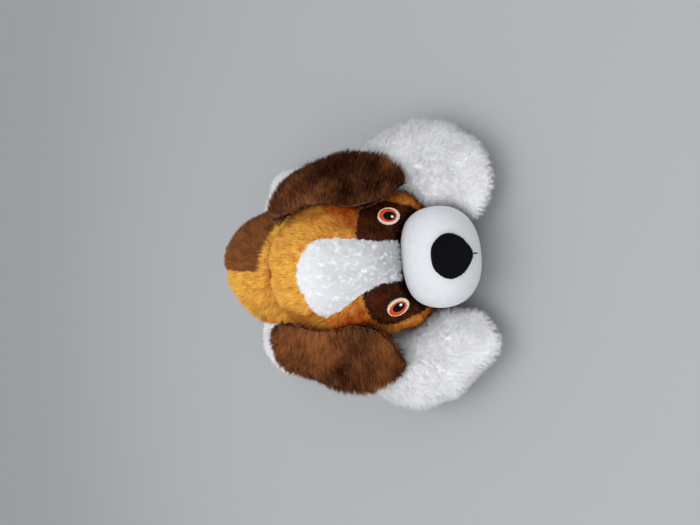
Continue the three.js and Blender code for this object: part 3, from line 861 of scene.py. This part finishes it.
def ear_nap(ear):
    """Nap down the length of an ear, a little outward."""
    _, down, across, _, _ = ear_frame(ear)

    def flow(p):
        return np.tile(down, (len(p), 1)) + wave(p, 30 * MM, 92)[:, None] * across * 0.35
    return flow


nose_low, nose_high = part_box("nose_embroidery")
nose_middle = (nose_low + nose_high) / 2
pile("head", head_skin, HEAD_PANELS + EYE_NODES, away_from(nose_middle), INSET["head"], 11,
     keep=off_muzzle, width=0.34, per_tuft=10, lean=(20, 55), shade=head_painted_shade,
     lean_share=clear_of_muzzle, scale=muzzle_lengths, swirl=0.12)
# The torso's pile gets painted shade on its sides and underside and painted light on top.
pile("torso", torso_skin, TORSO_PANELS, away_from(PIVOT["head"], 0.35), INSET["torso"], 23,
     width=0.44, shade=painted_shade_by_facing(2.6))
for k, limb in enumerate(LIMBS):
    pile(limb, leg_skins[limb], [f"{limb}_upper_panel", f"{limb}_sole_panel"],
         away_from(PIVOT[limb]), INSET["leg"], 31 + k, width=0.36, per_tuft=10,
         shade=legs_painted_light, lean=(24, 58), swirl=0.25, ruffle=1.7)
pile("tail", tail_skin, ["tail_lower_panel", "tail_upper_panel"], away_from(PIVOT["tail"]),
     INSET["tail"], 41)
for k, side in enumerate(SIDES):
    ear = f"ear_{side}"
    for m, layer in enumerate(("outer_panel", "lining")):
        node = f"{ear}_{layer}"
        pile(ear, ear_skins[node], [node], ear_nap(ear), 1.5 * MM, 51 + 2 * k + m,
             label="_" + layer.split("_")[0], width=0.4, shade=ear_painted_light(ear),
             scale=ear_lengths(ear),
             lean=(25, 62) if layer == "outer_panel" else (35, 70), even=2)


# ------------------------------------------------------------------ embroidery

STITCH_STEP = 0.4 * MM  # along a row
STITCH_WANDER = 0.05 * MM
STITCH_SIDES = 6
STITCH_WIDTH, STITCH_HEIGHT = 0.58, 0.45  # of the distance between rows
END_WIDTH, END_DIP = 0.62, 0.25  # how thin a stitch is at its ends, and how deep they go in mm
ABOVE_PATCH = 20 * MM  # rows are found by looking down from here


def thread_cloth(name, color, roughness=0.45, specular=0.3):
    """Spun thread: fine slanted relief and a slight change of tone."""
    m = woven(name, mixed(color, (0, 0, 0), 0.2), tuple(1.1 * c for c in color), 4500, 0.5,
              roughness, 0.0, (1, 3, 1))
    m.node_tree.nodes["Principled BSDF"].inputs["Specular IOR Level"].default_value = specular
    return m


def facing(node, inside):
    """The middle of an embroidered patch, and the way its outer side faces."""
    mesh = frame["nodes"][node].data
    low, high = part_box(node)
    middle = (low + high) / 2
    total = Vector()
    for p in mesh.polygons:
        if p.normal.dot(middle - inside) > 0.5 * (middle - inside).length:
            total += p.normal * p.area
    return middle, total.normalized()


def rows_over(node, middle, out, along, pitch):
    """Runs of points on the outer side of a patch, row after row across it."""
    mesh = frame["nodes"][node].data
    tree = BVHTree.FromPolygons([v.co for v in mesh.vertices],
                                [list(p.vertices) for p in mesh.polygons])
    along = (along - out * along.dot(out)).normalized()
    across = out.cross(along)
    spans = [((v.co - middle).dot(across), (v.co - middle).dot(along)) for v in mesh.vertices]
    low_b, high_b = min(b for b, _ in spans), max(b for b, _ in spans)
    low_a, high_a = min(a for _, a in spans), max(a for _, a in spans)
    runs = []
    count = max(1, round((high_b - low_b) / pitch))
    for j in range(count):
        b = low_b + (j + 0.5) * (high_b - low_b) / count
        run = []
        a = low_a - STITCH_STEP
        while a <= high_a + STITCH_STEP:
            start = middle + across * b + along * a + out * ABOVE_PATCH
            hit = tree.ray_cast(start, -out, 2 * ABOVE_PATCH)
            if hit[0] is not None and hit[1].dot(out) > 0.4:
                run.append(hit[0])
            elif run:
                runs.append(run)
                run = []
            a += STITCH_STEP
        if run:
            runs.append(run)
    return [r for r in runs if len(r) > 2]


def dress(node, material):
    """Gives a CAD node that stays one material."""
    mesh = frame["nodes"][node].data
    mesh.materials.clear()
    mesh.materials.append(material)


def stitched(name, node, body, material, along, pitch, inside, seed, puff, ragged,
             lift=0.1):
    """Rows of satin stitch over an embroidered patch; puff, ragged and lift are in mm."""
    rng = np.random.default_rng(seed)
    middle, out = facing(node, inside)
    bm = bmesh.new()
    for run in rows_over(node, middle, out, along, pitch):
        pts = [Vector(p) for p in run[::2]]
        if (pts[-1] - run[-1]).length > 0.1 * MM:
            pts.append(run[-1])
        way = (pts[-1] - pts[0]).normalized()
        pts[0] = pts[0] - way * rng.uniform(0, ragged) * MM
        pts[-1] = pts[-1] + way * rng.uniform(0, ragged) * MM
        side = out.cross(way).normalized()
        last = len(pts) - 1
        wander = rng.normal() * STITCH_WANDER
        rings = []
        for k, p in enumerate(pts):
            t = k / last
            arch = math.sin(math.pi * t) ** 0.5 if 0 < t < 1 else 0.0
            rise = lift + puff * arch - END_DIP * (1 - arch)
            centre = p + out * rise * MM + side * wander
            thin = END_WIDTH + (1 - END_WIDTH) * arch
            ring = []
            for q in range(STITCH_SIDES):
                turn = 2 * math.pi * q / STITCH_SIDES
                ring.append(bm.verts.new(
                    centre + side * math.cos(turn) * pitch * STITCH_WIDTH * thin
                    + out * math.sin(turn) * pitch * STITCH_HEIGHT * thin))
            rings.append(ring)
        for lower, upper in zip(rings, rings[1:]):
            for q in range(STITCH_SIDES):
                r = (q + 1) % STITCH_SIDES
                bm.faces.new((lower[q], lower[r], upper[r], upper[q]))
        bm.faces.new(rings[0][::-1])
        bm.faces.new(rings[-1])
    bmesh.ops.recalc_face_normals(bm, faces=bm.faces[:])
    mesh = bpy.data.meshes.new(name)
    bm.to_mesh(mesh)
    bm.free()
    shade_smooth(mesh)
    mesh.materials.append(material)
    obj = new_object(name, mesh)
    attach(obj, body)
    dress(node, material)


black = thread_cloth("black_thread", linear("07080A"), 0.9, 0.12)
cream = thread_cloth("cream_thread", linear("E8D6C6"))
orange = thread_cloth("orange_thread", linear("D24A12"))
white = thread_cloth("white_thread", linear("F4F2EE"))
stitched("nose_threads", "nose_embroidery", "head", black, Vector((1, 0, 0)),
         0.85 * MM, HEAD_MIDDLE, seed=61, puff=0.45, ragged=0.6)
# Each field of an eye: its thread, record slot, distance between rows, and lift.
EYE_THREADS = {
    "outline": (cream, "cream_thread", 0.5, 0.05),
    "iris": (orange, "orange_thread", 0.5, 0.0),
    "pupil": (black, "black_thread", 0.5, 0.05),
    "glint": (white, "white_thread", 0.4, 0.1),
}
for k, side in enumerate(SIDES):
    slant = Vector((0.35 if side == "left" else -0.5, 0.3, -0.8))
    for part, (thread, slot_name, pitch, lift) in EYE_THREADS.items():
        stitched(f"eye_{side}_{part}_threads", f"eye_{side}_{part}", "head", thread,
                 slant, pitch * MM, HEAD_MIDDLE, lift=lift, seed=71 + 5 * k, puff=0.12,
                 ragged=0.15)
dress("mouth_stitch", black)


# ------------------------------------------------------------------ stage

FLOOR_REACH = 30.0
SKY_COLOR, SKY_STRENGTH = (0.93, 0.95, 1.0, 1), 0.95
LIGHT_SIZE = 0.9
KEY_OFFSET, KEY_POWER = Vector((-0.12, 0.02, 0.95)), 3.7
FILL_OFFSET, FILL_POWER = Vector((-0.3, -0.85, 0.6)), 4.4
SENSOR, LENS = 36, 27.05  # mm
CAMERA_OFFSET = Vector((0.003, -0.345, 0.264))  # from the neck
LOOK_DOWN = math.radians(40)
DIFFUSE_BOUNCES, ALL_BOUNCES = 16, 20  # white pile needs many

corners = [(x * FLOOR_REACH, y * FLOOR_REACH, 0) for x, y in ((-1, -1), (1, -1), (1, 1), (-1, 1))]
floor_mesh = bpy.data.meshes.new("floor")
floor_mesh.from_pydata(corners, [], [(0, 1, 2, 3)])
floor = new_object("floor", floor_mesh)
floor_mesh.materials.append(principled("floor_paper", linear("9C9D9D"), 0.9))

world = bpy.data.worlds.new("studio")
bpy.context.scene.world = world
world.use_nodes = True
sky = world.node_tree.nodes["Background"].inputs
sky["Color"].default_value = SKY_COLOR
sky["Strength"].default_value = SKY_STRENGTH


def area_light(name, place, target, power):
    light = bpy.data.lights.new(name, "AREA")
    light.size = LIGHT_SIZE
    light.energy = power
    obj = bpy.data.objects.new(name, light)
    bpy.context.scene.collection.objects.link(obj)
    obj.location = place
    obj.rotation_mode = "QUATERNION"
    obj.rotation_quaternion = (Vector(target) - Vector(place)).to_track_quat("-Z", "Y")


middle = (CAD_LOW + CAD_HIGH) / 2
area_light("key", middle + KEY_OFFSET, middle, KEY_POWER)
area_light("fill", middle + FILL_OFFSET, middle, FILL_POWER)

# The camera looks down at the face and, like the photo, lies on its side.
camera = bpy.data.cameras.new("camera")
camera.sensor_width = SENSOR
camera.lens = LENS
camera.clip_start = 0.01
eye = bpy.data.objects.new("camera", camera)
bpy.context.scene.collection.objects.link(eye)
right = Vector((0, -math.sin(LOOK_DOWN), -math.cos(LOOK_DOWN)))
up = Vector((1, 0, 0))
back = Vector((0, -math.cos(LOOK_DOWN), math.sin(LOOK_DOWN)))
eye.rotation_mode = "QUATERNION"
eye.rotation_quaternion = Matrix((right, up, back)).transposed().to_quaternion()
eye.location = PIVOT["head"] + CAMERA_OFFSET
bpy.context.scene.camera = eye
bpy.context.scene.view_settings.view_transform = "Standard"
bpy.context.scene.cycles.diffuse_bounces = DIFFUSE_BOUNCES
bpy.context.scene.cycles.max_bounces = ALL_BOUNCES
